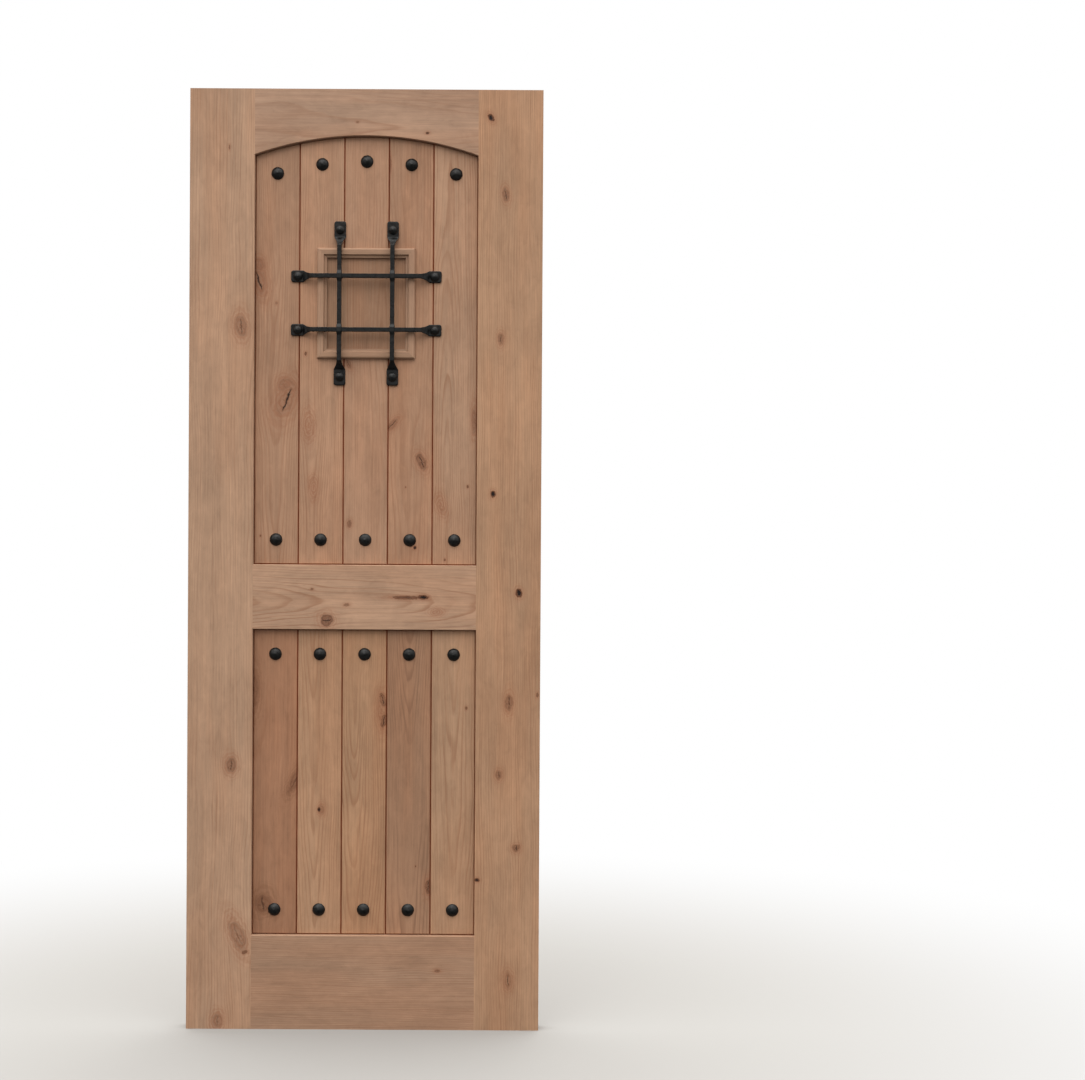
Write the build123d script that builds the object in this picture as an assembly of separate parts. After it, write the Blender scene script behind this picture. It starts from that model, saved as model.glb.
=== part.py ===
from build123d import *
from math import sqrt
import os

# Arched plank door leaf with a speakeasy port, in millimetres.
# Origin: middle of the leaf's bottom edge. X runs across the leaf from the hinge stile (-X) to the
# lock stile (+X), Y through it from the outside face (-Y) to the inside face (+Y), Z up.

# Stiles and rails
leaf_width = 762.0
leaf_height = 2032.0
leaf_thickness = 44.45
stile_width = 139.7
bottom_rail_height = 203.2
lower_panel_height = 662.3
mid_rail_height = 139.7
top_rail_end_height = 142.0
arch_rise = 42.0
frame_arris = 1.0

# Grooves, stub tenons and dowels that join the frame
groove_depth = 13.0
groove_width = 12.7
tenon_play = 0.1
tenon_end_gap = 0.5
dowel_radius = 6.35
dowel_length = 127.0
dowel_point = 1.5
dowel_glue_gap = 0.1
dowel_end_gap = 0.8
top_rail_dowel_count = 2
mid_rail_dowel_count = 2
bottom_rail_dowel_count = 3

# Tongued planks that fill both openings
plank_count = 5
panel_thickness = 19.05
panel_edge_gap = 0.8
panel_tongue_reach = 12.4
panel_tongue_play = 0.15
plank_joint_gap = 0.7
plank_chamfer = 2.0
plank_tongue_length = 7.0
plank_tongue_thickness = 6.35
plank_tongue_play = 0.15
plank_tongue_end_gap = 0.6

# Round forged nail heads at both ends of every plank
clavo_head_radius = 13.5
clavo_head_height = 8.6
clavo_rim = 1.0
clavo_shank_radius = 2.6
clavo_shank_length = 16.0
clavo_point = 5.0
clavo_inset = 54.0

# Port cut through the upper panel, its sides set in from the middles of the planks beside it
port_side_set_in = 6.52
port_height = 207.0
port_below_crown = 361.0

# Mitred moulding round the port outside, whose lip stops the little door
moulding_width = 21.0
moulding_height = 9.2
moulding_outer_round = 5.0
moulding_inner_round = 0.8
moulding_ledge_width = 6.5
moulding_ledge_height = 4.2
moulding_cove = 4.0
lip_overlap = 5.0
lip_gap = 0.3

# Flat casing round the port inside, flush with the leaf's inside face
casing_width = 30.0
casing_round = 2.0

# Little door that closes the port
door_thickness = 28.6
door_side_gap = 2.0
door_stop_gap = 0.3
door_latch_bevel = 2.2
door_arris = 0.7

# Steel sheet of the hinges, the bolt and its keeper; their screws' heads are as deep as it is thick
sheet_thickness = 1.5

# Two butt hinges of the little door
hinge_height = 50.0
hinge_leaf_width = 24.0
hinge_corner = 3.0
hinge_knuckle_radius = 3.2
hinge_knuckle_gap = 0.3
hinge_lift = 0.3
hinge_leaf_gap = 0.4
hinge_pin_radius = 1.6
hinge_pin_play = 0.05
hinge_pin_head_radius = 2.5
hinge_pin_head_height = 1.2
hinge_end_distance = 39.5
hinge_screw_setout = 15.0
hinge_screw_spacing = 34.0

# Countersunk screws of hinges, bolt and keeper
screw_head_radius = 2.9
screw_shank_radius = 1.4
screw_length = 13.0
screw_point = 3.0
screw_play = 0.1

# Barrel bolt on the little door and its keeper on the casing
bolt_plate_width = 26.0
bolt_plate_corner = 3.0
bolt_plate_setback = 2.0
bolt_rod_radius = 4.0
bolt_rod_tail = 12.0
bolt_rod_tip = 1.0
bolt_rod_lift = 0.3
bolt_rod_play = 0.08
bolt_guide_wall = 1.6
bolt_guide_length = 8.0
bolt_guide_inset = 2.0
bolt_travel = 18.0
bolt_knob_radius = 3.5
bolt_knob_height = 10.0
bolt_knob_waist = 2.1
bolt_knob_gap = 1.4
bolt_knob_stem_radius = 1.6
bolt_knob_stem_length = 4.0
bolt_knob_stem_play = 0.05
bolt_screw_inset = 6.0
keeper_plate_length = 22.0
keeper_setback = 2.5
keeper_loop_length = 10.0
keeper_play = 0.35

# Forged grille: four square bars with flattened, nailed ends, laid out by the planks and the port
bar_size = 9.5
bar_clearance = 2.3
bar_passage_play = 0.05
upright_bar_past_joint = 8.89
upright_nail_past_port = 55.2
upright_pad_length = 34.5
upright_nail_inset = 18.8
cross_nail_past_joint = 3.22
cross_bar_spacing = 115.8
cross_pad_length = 26.0
cross_nail_inset = 15.0
pad_width = 25.5
pad_thickness = 4.5
pad_corner = 5.0
pad_arris = 1.0
ramp_length = 18.0
ramp_waist = 0.86
eye_width = 11.8
eye_depth = 14.6
eye_across_corners = 16.6
eye_flat = 10.0
eye_length = 24.0

# Dome nails that hold the grille's ends
nail_head_radius = 10.0
nail_head_height = 7.0
nail_rim = 0.8
nail_shank_radius = 2.0
nail_shank_length = 22.0
nail_point = 5.0
nail_play = 0.1

# Places that follow from the sizes above
opening_half = leaf_width / 2 - stile_width
lower_low_z = bottom_rail_height
lower_high_z = lower_low_z + lower_panel_height
upper_low_z = lower_high_z + mid_rail_height
spring_z = leaf_height - top_rail_end_height
crown_z = spring_z + arch_rise
arch_radius = (opening_half**2 + arch_rise**2) / (2 * arch_rise)
arch_centre_z = crown_z - arch_radius
plank_pitch = 2 * opening_half / plank_count
port_width = 2 * (plank_pitch - port_side_set_in)
port_centre_z = crown_z - port_below_crown
upright_bar_x = plank_pitch / 2 + upright_bar_past_joint
upright_nail_z = port_height / 2 + upright_nail_past_port
cross_nail_x = 3 * plank_pitch / 2 + cross_nail_past_joint
outside_y = -leaf_thickness / 2
inside_y = leaf_thickness / 2
panel_outside_y = -panel_thickness / 2
panel_inside_y = panel_thickness / 2
door_front_y = inside_y - door_thickness
hinge_axis_x = -(port_width - door_side_gap) / 2
hinge_axis_y = inside_y + hinge_knuckle_radius + hinge_lift
door_latch_x = port_width / 2 - door_side_gap
sheet_top_y = inside_y + sheet_thickness
bolt_axis_y = sheet_top_y + bolt_rod_lift + bolt_rod_radius


def rectangle(x0, x1, z0, z1):
    return Pos((x0 + x1) / 2, (z0 + z1) / 2) * Rectangle(abs(x1 - x0), abs(z1 - z0))


def block(x0, x1, y0, y1, z0, z1):
    middle = Pos((x0 + x1) / 2, (y0 + y1) / 2, (z0 + z1) / 2)
    return middle * Box(abs(x1 - x0), abs(y1 - y0), abs(z1 - z0))


# An outline drawn as (x, z), thickened equally to both sides of the leaf's middle plane
def slab(outline, thickness):
    return extrude(Plane.XZ * outline, amount=thickness / 2, both=True)


# A profile drawn as (radius, height), turned about Z
def turned(profile):
    return revolve(Plane.XZ * make_face(profile), axis=Axis.Z)


def facing_out(shape, x, y, z):
    return Pos(x, y, z) * Rot(90, 0, 0) * shape


def facing_in(shape, x, y, z):
    return Pos(x, y, z) * Rot(-90, 0, 0) * shape


def arch_at(x, reach=0.0):
    return arch_centre_z + sqrt((arch_radius + reach) ** 2 - x**2)


# The openings of the frame, grown by reach into the stiles and rails
def lower_outline(reach):
    half = opening_half + reach
    return rectangle(-half, half, lower_low_z - reach, lower_high_z + reach)


def upper_outline(reach):
    half = opening_half + reach
    low = upper_low_z - reach
    side = arch_at(half, reach)
    legs = Polyline((-half, side), (-half, low), (half, low), (half, side))
    return make_face(legs + ThreePointArc((half, side), (0, crown_z + reach), (-half, side)))


# What an opening takes out of the frame: itself, its groove and the arris on both faces
def opening_cut(outline):
    face_plane = Plane.XZ.offset(leaf_thickness / 2)
    arris_plane = Plane.XZ.offset(leaf_thickness / 2 - frame_arris)
    arris = loft([face_plane * outline(frame_arris), arris_plane * outline(0)], ruled=True)
    groove = slab(outline(groove_depth), groove_width)
    return slab(outline(0), leaf_thickness) + groove + arris + mirror(arris, about=Plane.XZ)


def dowel_heights(low, high, count):
    return [low + (high - low) * (k + 0.5) / count for k in range(count)]


def dowel_places(heights):
    return [Pos(side * opening_half, 0, z) * Rot(0, 90, 0) for z in heights for side in (-1, 1)]


def dowel():
    rod = Cylinder(dowel_radius, dowel_length)
    return chamfer(rod.edges().filter_by(GeomType.CIRCLE), dowel_point)


dowel_rows = {
    "top_rail": dowel_heights(crown_z + groove_depth, leaf_height, top_rail_dowel_count),
    "mid_rail": dowel_heights(lower_high_z + groove_depth, upper_low_z - groove_depth, mid_rail_dowel_count),
    "bottom_rail": dowel_heights(0, lower_low_z - groove_depth, bottom_rail_dowel_count),
}
dowel_hole = Cylinder(dowel_radius + dowel_glue_gap, dowel_length + 2 * dowel_end_gap)
frame_cuts = [opening_cut(lower_outline), opening_cut(upper_outline)]
for heights in dowel_rows.values():
    frame_cuts += [place * dowel_hole for place in dowel_places(heights)]


def less(shape, cuts):
    for cut in cuts:
        shape = shape - cut
    return shape


def stile(side):
    inner = side * opening_half
    body = block(inner, side * leaf_width / 2, outside_y, inside_y, 0, leaf_height)
    groove_y = groove_width / 2
    body -= block(inner, inner + side * groove_depth, -groove_y, groove_y, 0, leaf_height)
    return less(body, frame_cuts)


def rail(low, high):
    tenon_half = opening_half + groove_depth - tenon_end_gap
    tenon_y = groove_width / 2 - tenon_play
    body = block(-opening_half, opening_half, outside_y, inside_y, low, high)
    body += block(-tenon_half, tenon_half, -tenon_y, tenon_y, low, high)
    return less(body, frame_cuts)


# Domed nail with its head's underside at height 0 and its shank below; the dome is a spherical cap
def dome_nail(head_radius, head_height, rim, shank_radius, shank_length, point):
    rise = head_height - rim
    ball_radius = (head_radius**2 + rise**2) / (2 * rise)
    half_reach = head_radius / 2
    half_height = head_height - ball_radius + sqrt(ball_radius**2 - half_reach**2)
    edge = Polyline(
        (0, head_height),
        (0, -shank_length),
        (shank_radius, point - shank_length),
        (shank_radius, 0),
        (head_radius, 0),
        (head_radius, rim),
    )
    return turned(edge + ThreePointArc((head_radius, rim), (half_reach, half_height), (0, head_height)))


# Countersunk screw with its head's top at height 0, and the hole that takes it
def screw():
    profile = Polyline(
        (0, 0),
        (0, -screw_length),
        (screw_shank_radius, screw_point - screw_length),
        (screw_shank_radius, -sheet_thickness),
        (screw_head_radius, 0),
        (0, 0),
    )
    return turned(profile)


def screw_hole():
    shank = screw_shank_radius + screw_play
    head = screw_head_radius + screw_play
    profile = Polyline(
        (0, 0),
        (0, -screw_length - screw_play),
        (shank, -screw_length - screw_play),
        (shank, -sheet_thickness),
        (head, 0),
        (0, 0),
    )
    return turned(profile)


# Nail places, as (x, z)
plank_middles = [-opening_half + (k + 0.5) * plank_pitch for k in range(plank_count)]
clavo_rows = {
    "clavos_upper_top": [(x, arch_at(x) - clavo_inset) for x in plank_middles],
    "clavos_upper_bottom": [(x, upper_low_z + clavo_inset) for x in plank_middles],
    "clavos_lower_top": [(x, lower_high_z - clavo_inset) for x in plank_middles],
    "clavos_lower_bottom": [(x, lower_low_z + clavo_inset) for x in plank_middles],
}
grille_nail_places = []
for across in (-1, 1):
    for up in (-1, 1):
        grille_nail_places.append((across * upright_bar_x, port_centre_z + up * upright_nail_z))
        grille_nail_places.append((across * cross_nail_x, port_centre_z + up * cross_bar_spacing / 2))

# Screw places on the inside of the port, as (x, z)
door_height = port_height - 2 * door_side_gap
hinge_reach = door_height / 2 - hinge_end_distance
hinge_centres = [port_centre_z - hinge_reach, port_centre_z + hinge_reach]
hinge_screw_heights = [z + k * hinge_screw_spacing / 2 for z in hinge_centres for k in (-1, 1)]
casing_screw_places = [(hinge_axis_x - hinge_screw_setout, z) for z in hinge_screw_heights]
door_screw_places = [(hinge_axis_x + hinge_screw_setout, z) for z in hinge_screw_heights]
knob_room = bolt_travel + 2 * bolt_knob_radius + 2 * bolt_knob_gap
bolt_plate_x1 = door_latch_x - bolt_plate_setback
bolt_plate_x0 = bolt_plate_x1 - knob_room - 2 * bolt_guide_length - 2 * bolt_guide_inset
keeper_x0 = port_width / 2 + keeper_setback
keeper_x1 = keeper_x0 + keeper_plate_length
keeper_middle_x = (keeper_x0 + keeper_x1) / 2
bolt_screw_x = [bolt_plate_x0 + bolt_screw_inset, bolt_plate_x1 - bolt_screw_inset]
screw_setout = (bolt_rod_radius + bolt_rod_play + bolt_guide_wall + bolt_plate_width / 2) / 2
screw_offsets = [-screw_setout, screw_setout]
bolt_screw_places = [(x, port_centre_z + dz) for x in bolt_screw_x for dz in screw_offsets]
keeper_screw_places = [(keeper_middle_x, port_centre_z + dz) for dz in screw_offsets]


def nail_hole(radius, length, x, z):
    hole = Pos(0, 0, -length / 2) * Cylinder(radius, length)
    return facing_out(hole, x, panel_outside_y, z)


def screw_holes(places):
    return [facing_in(screw_hole(), x, sheet_top_y, z) for x, z in places]


def screws(places):
    return Compound([facing_in(screw(), x, sheet_top_y, z) for x, z in places])


clavo_holes = [
    nail_hole(clavo_shank_radius + nail_play, clavo_shank_length + nail_play, x, z)
    for row in clavo_rows.values()
    for x, z in row
]
grille_hole_length = nail_shank_length - pad_thickness + nail_play
grille_nail_holes = [
    nail_hole(nail_shank_radius + nail_play, grille_hole_length, x, z) for x, z in grille_nail_places
]
casing_holes = screw_holes(casing_screw_places + keeper_screw_places)
port_half_width = port_width / 2
port_low_z = port_centre_z - port_height / 2
port_high_z = port_centre_z + port_height / 2
port_cut = block(
    -port_half_width, port_half_width, panel_outside_y, panel_inside_y, port_low_z, port_high_z
)


# One plank: chamfered board, tongue into the frame's groove, tongue and groove to its neighbours
def plank(outline, index):
    first = index == 0
    last = index == plank_count - 1
    beyond = opening_half + groove_depth
    left = -beyond if first else -opening_half + index * plank_pitch + plank_joint_gap / 2
    right = beyond if last else -opening_half + (index + 1) * plank_pitch - plank_joint_gap / 2
    strip = rectangle(left, right, 0, leaf_height)
    board = slab(outline(-panel_edge_gap) & strip, panel_thickness)
    faces = board.faces().sort_by(Axis.Y)
    board = chamfer(faces[0].edges() + faces[-1].edges(), plank_chamfer)
    tongue_outline = outline(panel_tongue_reach)
    board += slab(tongue_outline & strip, groove_width - 2 * panel_tongue_play)
    if not last:
        tongue = rectangle(right, right + plank_tongue_length, 0, leaf_height)
        board += slab(tongue_outline & tongue, plank_tongue_thickness)
    if not first:
        reach = plank_tongue_length - plank_joint_gap + plank_tongue_end_gap
        groove = rectangle(left, left + reach, 0, leaf_height)
        board -= slab(groove, plank_tongue_thickness + 2 * plank_tongue_play)
    return less(board, clavo_holes)


# One side of a mitred frame, lying along X with its inner edge at z = 0 and its back at y = 0
def mitred_side(profile, width, inner_length):
    section = Plane(origin=(0, 0, 0), x_dir=(0, 0, 1), z_dir=(1, 0, 0)) * profile
    inner = inner_length / 2
    outer = inner + width
    strip = extrude(section, amount=outer, both=True)
    corners = Polyline((-inner, 0), (inner, 0), (outer, width), (-outer, width), (-inner, 0))
    return strip & slab(make_face(corners), 2 * leaf_thickness)


def mitred_frame(profile, width, inner_width, inner_height):
    level = mitred_side(profile, width, inner_width)
    upright = mitred_side(profile, width, inner_height)
    return {
        "top": Pos(0, 0, port_centre_z + inner_height / 2) * level,
        "right": Pos(inner_width / 2, 0, port_centre_z) * Rot(0, 90, 0) * upright,
        "bottom": Pos(0, 0, port_centre_z - inner_height / 2) * Rot(0, 180, 0) * level,
        "left": Pos(-inner_width / 2, 0, port_centre_z) * Rot(0, -90, 0) * upright,
    }


# Moulding section as (distance from the inner edge, height off the planks); the lip reaches back
def moulding_profile():
    lip = lip_overlap - lip_gap
    lip_back = -(panel_thickness / 2 + door_front_y - door_stop_gap)
    section = make_face(
        Polyline(
            (0, lip_back),
            (lip, lip_back),
            (lip, 0),
            (moulding_width, 0),
            (moulding_width, moulding_height),
            (moulding_ledge_width, moulding_height),
            (moulding_ledge_width, moulding_ledge_height),
            (0, moulding_ledge_height),
            (0, lip_back),
        )
    )
    outer = section.vertices().sort_by_distance((moulding_width, moulding_height))[0]
    section = fillet(outer, moulding_outer_round)
    foot = section.vertices().sort_by_distance((moulding_ledge_width, moulding_ledge_height))[0]
    section = fillet(foot, moulding_cove)
    shoulder = section.vertices().sort_by_distance((moulding_ledge_width, moulding_height))[0]
    ledge = section.vertices().sort_by_distance((0, moulding_ledge_height))[0]
    return fillet([shoulder, ledge], moulding_inner_round)


def casing_profile():
    height = inside_y - panel_inside_y
    section = rectangle(0, casing_width, 0, height)
    outer = section.vertices().sort_by_distance((casing_width, height))[0]
    return fillet(outer, casing_round)


# Board of the little door, with its latch edge planed back towards the outside face
def speakeasy_door():
    hinge_x = -port_half_width + door_side_gap
    plan = make_face(
        Polyline(
            (hinge_x, inside_y),
            (hinge_x, door_front_y),
            (door_latch_x - door_latch_bevel, door_front_y),
            (door_latch_x, inside_y),
            (hinge_x, inside_y),
        )
    )
    board = Pos(0, 0, port_centre_z - door_height / 2) * extrude(plan, amount=door_height)
    faces = board.faces().sort_by(Axis.Y)
    board = chamfer(faces[0].edges() + faces[-1].edges(), door_arris)
    return less(board, screw_holes(door_screw_places + bolt_screw_places))


# Heights of a hinge's three knuckles about its middle, as (low, high)
knuckle_height = (hinge_height - 2 * hinge_knuckle_gap) / 3
knuckle_step = knuckle_height + hinge_knuckle_gap
knuckle_middles = [-knuckle_step, 0, knuckle_step]
knuckles = [(middle - knuckle_height / 2, middle + knuckle_height / 2) for middle in knuckle_middles]


# Hinge leaf about its own pin, on the casing (side -1) or on the little door (side 1)
def hinge_leaf(side, own_knuckles):
    back_y = -hinge_knuckle_radius - hinge_lift
    front_y = back_y + sheet_thickness
    root = side * (hinge_knuckle_radius + hinge_leaf_gap)
    half = hinge_height / 2
    leaf = block(root, side * hinge_leaf_width, back_y, front_y, -half, half)
    corners = leaf.edges().filter_by(Axis.Y).sort_by(Axis.X)
    leaf = fillet(corners[2:] if side > 0 else corners[:2], hinge_corner)
    for low, high in own_knuckles:
        leaf += block(0, root, back_y, front_y, low, high)
        leaf += Pos(0, 0, (low + high) / 2) * Cylinder(hinge_knuckle_radius, high - low)
    return leaf - Cylinder(hinge_pin_radius + hinge_pin_play, 2 * hinge_height)


def hinge_pin():
    half = hinge_height / 2
    pin = Cylinder(hinge_pin_radius, hinge_height)
    for side in (-1, 1):
        head = Pos(0, 0, side * (half + hinge_pin_head_height / 2))
        pin += head * Cylinder(hinge_pin_head_radius, hinge_pin_head_height)
    return pin


# Plate lying on the inside face, with rounded corners and its screw holes
def plate(x0, x1, places):
    half = bolt_plate_width / 2
    sheet = block(x0, x1, inside_y, sheet_top_y, port_centre_z - half, port_centre_z + half)
    sheet = fillet(sheet.edges().filter_by(Axis.Y), bolt_plate_corner)
    return less(sheet, screw_holes(places))


# Bored loop that guides the bolt's rod between x0 and x1
def rod_loop(x0, x1, play):
    bore = bolt_rod_radius + play
    outer = bore + bolt_guide_wall
    length = x1 - x0
    middle = Pos((x0 + x1) / 2, bolt_axis_y, port_centre_z) * Rot(0, 90, 0)
    low_z, high_z = port_centre_z - outer, port_centre_z + outer
    foot = block(x0, x1, sheet_top_y, bolt_axis_y, low_z, high_z)
    above_plate = block(x0, x1, sheet_top_y, bolt_axis_y + outer, low_z, high_z)
    return (middle * Cylinder(outer, length) & above_plate) + foot - middle * Cylinder(bore, 2 * length)


# Places of the guides, rod and knob along X, with the bolt drawn back
inner_guide_x = bolt_plate_x0 + bolt_guide_inset
outer_guide_x = bolt_plate_x1 - bolt_guide_inset - bolt_guide_length
rod_tip_x = bolt_plate_x1
rod_end_x = bolt_plate_x0 - bolt_rod_tail
knob_x = inner_guide_x + bolt_guide_length + bolt_knob_gap + bolt_knob_radius
knob_seat_y = bolt_axis_y + bolt_rod_radius - bolt_knob_stem_length


def bolt_base():
    base = plate(bolt_plate_x0, bolt_plate_x1, bolt_screw_places)
    for x in (inner_guide_x, outer_guide_x):
        base += rod_loop(x, x + bolt_guide_length, bolt_rod_play)
    return base


def bolt_rod():
    rod = Cylinder(bolt_rod_radius, rod_tip_x - rod_end_x)
    rod = chamfer(rod.edges().filter_by(GeomType.CIRCLE), bolt_rod_tip)
    rod = Pos((rod_tip_x + rod_end_x) / 2, bolt_axis_y, port_centre_z) * Rot(0, 90, 0) * rod
    stem_hole = Cylinder(bolt_knob_stem_radius + bolt_knob_stem_play, 2 * bolt_knob_stem_length)
    return rod - facing_in(stem_hole, knob_x, bolt_axis_y + bolt_rod_radius, port_centre_z)


# Turned knob whose stem seats in the rod, with a half-ball head on a flared neck
def bolt_knob():
    neck = bolt_knob_stem_length
    head = neck + bolt_knob_height - bolt_knob_radius
    edge = Polyline(
        (0, head + bolt_knob_radius),
        (0, 0),
        (bolt_knob_stem_radius, 0),
        (bolt_knob_stem_radius, neck),
        (bolt_knob_waist, neck),
        (bolt_knob_radius, head),
    )
    edge += CenterArc((0, head), bolt_knob_radius, 0, 90)
    return facing_in(turned(edge), knob_x, knob_seat_y, port_centre_z)


def bolt_keeper():
    loop_x = keeper_middle_x - keeper_loop_length / 2
    keeper = plate(keeper_x0, keeper_x1, keeper_screw_places)
    loop = rod_loop(loop_x, loop_x + keeper_loop_length, keeper_play)
    return less(keeper + loop, screw_holes(keeper_screw_places))


# Bar along X, lying off a plank face at y = 0: square middle, spade ends drawn down to the planks
bar_back_y = -(moulding_height + bar_clearance)
bar_axis_y = bar_back_y - bar_size / 2


def bar_section(x, y, width, thickness):
    return Plane(origin=(x, y, 0), x_dir=(0, 0, 1), z_dir=(1, 0, 0)) * Rectangle(width, thickness)


def forged_bar(nail_x, nail_inset, pad_length):
    end_x = nail_x + nail_inset
    pad_x = end_x - pad_length
    ramp_x = pad_x - ramp_length
    half = bar_size / 2
    middle = block(-ramp_x, ramp_x, bar_back_y - bar_size, bar_back_y, -half, half)
    ramp = loft(
        [
            bar_section(ramp_x, bar_axis_y, bar_size, bar_size),
            bar_section(
                (ramp_x + pad_x) / 2,
                (bar_axis_y - pad_thickness / 2) / 2,
                ramp_waist * (bar_size + pad_width) / 2,
                ramp_waist * (bar_size + pad_thickness) / 2,
            ),
            bar_section(pad_x, -pad_thickness / 2, pad_width, pad_thickness),
        ],
        ruled=True,
    )
    pad = block(pad_x, end_x, -pad_thickness, 0, -pad_width / 2, pad_width / 2)
    pad = fillet(pad.edges().filter_by(Axis.Y).sort_by(Axis.X)[2:], pad_corner)
    pad = chamfer(pad.faces().sort_by(Axis.Y)[0].edges().sort_by(Axis.X)[1:], pad_arris)
    hole = Rot(90, 0, 0) * Cylinder(nail_shank_radius + nail_play, 4 * pad_thickness)
    spade = ramp + pad - Pos(nail_x, 0, 0) * hole
    return middle + spade + mirror(spade, about=Plane.YZ)


# Upright bars are punched and swollen where the cross bars pass through them
def pierced_bar():
    bar = forged_bar(upright_nail_z, upright_nail_inset, upright_pad_length)
    sections = []
    for x, width, depth in (
        (-eye_length / 2, bar_size, bar_size),
        (-eye_flat / 2, eye_width, eye_depth),
        (eye_flat / 2, eye_width, eye_depth),
        (eye_length / 2, bar_size, bar_size),
    ):
        sections.append(bar_section(x, 0, width, depth))
    eye = loft(sections, ruled=True)
    eye = eye & Rot(45, 0, 0) * Box(eye_length, eye_across_corners, eye_across_corners)
    passage = Box(bar_size + 2 * bar_passage_play, bar_size + 2 * bar_passage_play, 2 * eye_width)
    for side in (-1, 1):
        bar += Pos(side * cross_bar_spacing / 2, bar_axis_y, 0) * eye
    for side in (-1, 1):
        bar -= Pos(side * cross_bar_spacing / 2, bar_axis_y, 0) * passage
    return bar


pieces = {
    "hinge_stile": stile(-1),
    "lock_stile": stile(1),
    "top_rail": rail(spring_z, leaf_height),
    "mid_rail": rail(lower_high_z, upper_low_z),
    "bottom_rail": rail(0, lower_low_z),
}
for name, heights in dowel_rows.items():
    pieces[name + "_dowels"] = Compound([place * dowel() for place in dowel_places(heights)])

# Planks are numbered from the hinge stile; the port leaves the middle one in two pieces
upper_cuts = [port_cut] + grille_nail_holes + casing_holes
for index in range(plank_count):
    board = less(plank(upper_outline, index), upper_cuts)
    parts = board.solids().sort_by(Axis.Z)
    label = f"upper_plank_{index + 1}"
    if len(parts) == 1:
        pieces[label] = parts[0]
    else:
        pieces[label + "_below_port"] = parts[0]
        pieces[label + "_above_port"] = parts[-1]
    pieces[f"lower_plank_{index + 1}"] = plank(lower_outline, index)

clavo = dome_nail(
    clavo_head_radius, clavo_head_height, clavo_rim, clavo_shank_radius, clavo_shank_length, clavo_point
)
for name, row in clavo_rows.items():
    pieces[name] = Compound([facing_out(clavo, x, panel_outside_y, z) for x, z in row])

inner_width = port_width - 2 * lip_overlap
inner_height = port_height - 2 * lip_overlap
for side, piece in mitred_frame(moulding_profile(), moulding_width, inner_width, inner_height).items():
    pieces["port_moulding_" + side] = Pos(0, panel_outside_y, 0) * piece
for side, piece in mitred_frame(casing_profile(), casing_width, port_width, port_height).items():
    seated = Pos(0, panel_inside_y, 0) * mirror(piece, about=Plane.XZ)
    pieces["port_casing_" + side] = less(seated, casing_holes)

pieces["speakeasy_door"] = speakeasy_door()
for place, centre_z in zip(("lower", "upper"), hinge_centres):
    pin_place = Pos(hinge_axis_x, hinge_axis_y, centre_z)
    casing_leaf = pin_place * hinge_leaf(-1, [knuckles[0], knuckles[2]])
    door_leaf = pin_place * hinge_leaf(1, [knuckles[1]])
    pieces[place + "_hinge_casing_leaf"] = less(casing_leaf, screw_holes(casing_screw_places))
    pieces[place + "_hinge_door_leaf"] = less(door_leaf, screw_holes(door_screw_places))
    pieces[place + "_hinge_pin"] = pin_place * hinge_pin()
pieces["hinge_casing_screws"] = screws(casing_screw_places)
pieces["hinge_door_screws"] = screws(door_screw_places)
pieces["bolt_base"] = bolt_base()
pieces["bolt_rod"] = bolt_rod()
pieces["bolt_knob"] = bolt_knob()
pieces["bolt_keeper"] = bolt_keeper()
pieces["bolt_screws"] = screws(bolt_screw_places)
pieces["keeper_screws"] = screws(keeper_screw_places)

upright = Rot(0, 90, 0) * pierced_bar()
cross = forged_bar(cross_nail_x, cross_nail_inset, cross_pad_length)
for name, side in (("left", -1), ("right", 1)):
    pieces["grille_bar_" + name] = Pos(side * upright_bar_x, panel_outside_y, port_centre_z) * upright
for name, side in (("lower", -1), ("upper", 1)):
    bar_z = port_centre_z + side * cross_bar_spacing / 2
    pieces["grille_bar_" + name] = Pos(0, panel_outside_y, bar_z) * cross
nail = dome_nail(
    nail_head_radius, nail_head_height, nail_rim, nail_shank_radius, nail_shank_length, nail_point
)
nail_seat_y = panel_outside_y - pad_thickness
pieces["grille_nails"] = Compound([facing_out(nail, x, nail_seat_y, z) for x, z in grille_nail_places])

os.makedirs("parts", exist_ok=True)
for name, shape in pieces.items():
    export_step(shape, f"parts/{name}.step")
print("wrote", len(pieces), "pieces")
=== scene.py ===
import math
import bpy
import bmesh
from mathutils import Matrix, Vector


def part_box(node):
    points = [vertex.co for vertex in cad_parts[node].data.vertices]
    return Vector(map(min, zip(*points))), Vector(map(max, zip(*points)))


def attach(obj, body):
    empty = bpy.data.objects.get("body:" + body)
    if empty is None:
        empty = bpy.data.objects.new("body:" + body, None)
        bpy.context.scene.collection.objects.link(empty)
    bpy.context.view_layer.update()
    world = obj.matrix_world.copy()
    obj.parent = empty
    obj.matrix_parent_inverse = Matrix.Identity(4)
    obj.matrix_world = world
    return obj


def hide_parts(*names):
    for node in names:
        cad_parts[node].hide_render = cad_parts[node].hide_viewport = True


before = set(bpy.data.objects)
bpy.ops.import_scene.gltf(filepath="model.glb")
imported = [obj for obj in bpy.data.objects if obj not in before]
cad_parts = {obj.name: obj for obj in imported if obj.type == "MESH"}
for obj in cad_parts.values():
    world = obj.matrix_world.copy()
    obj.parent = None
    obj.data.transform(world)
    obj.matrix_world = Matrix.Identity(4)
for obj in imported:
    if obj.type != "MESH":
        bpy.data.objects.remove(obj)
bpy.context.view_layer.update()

white = (1.0, 1.0, 1.0, 1.0)
mergeWithin = 1e-6  # metres between corners of a CAD node's loose triangles that are one point


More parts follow.
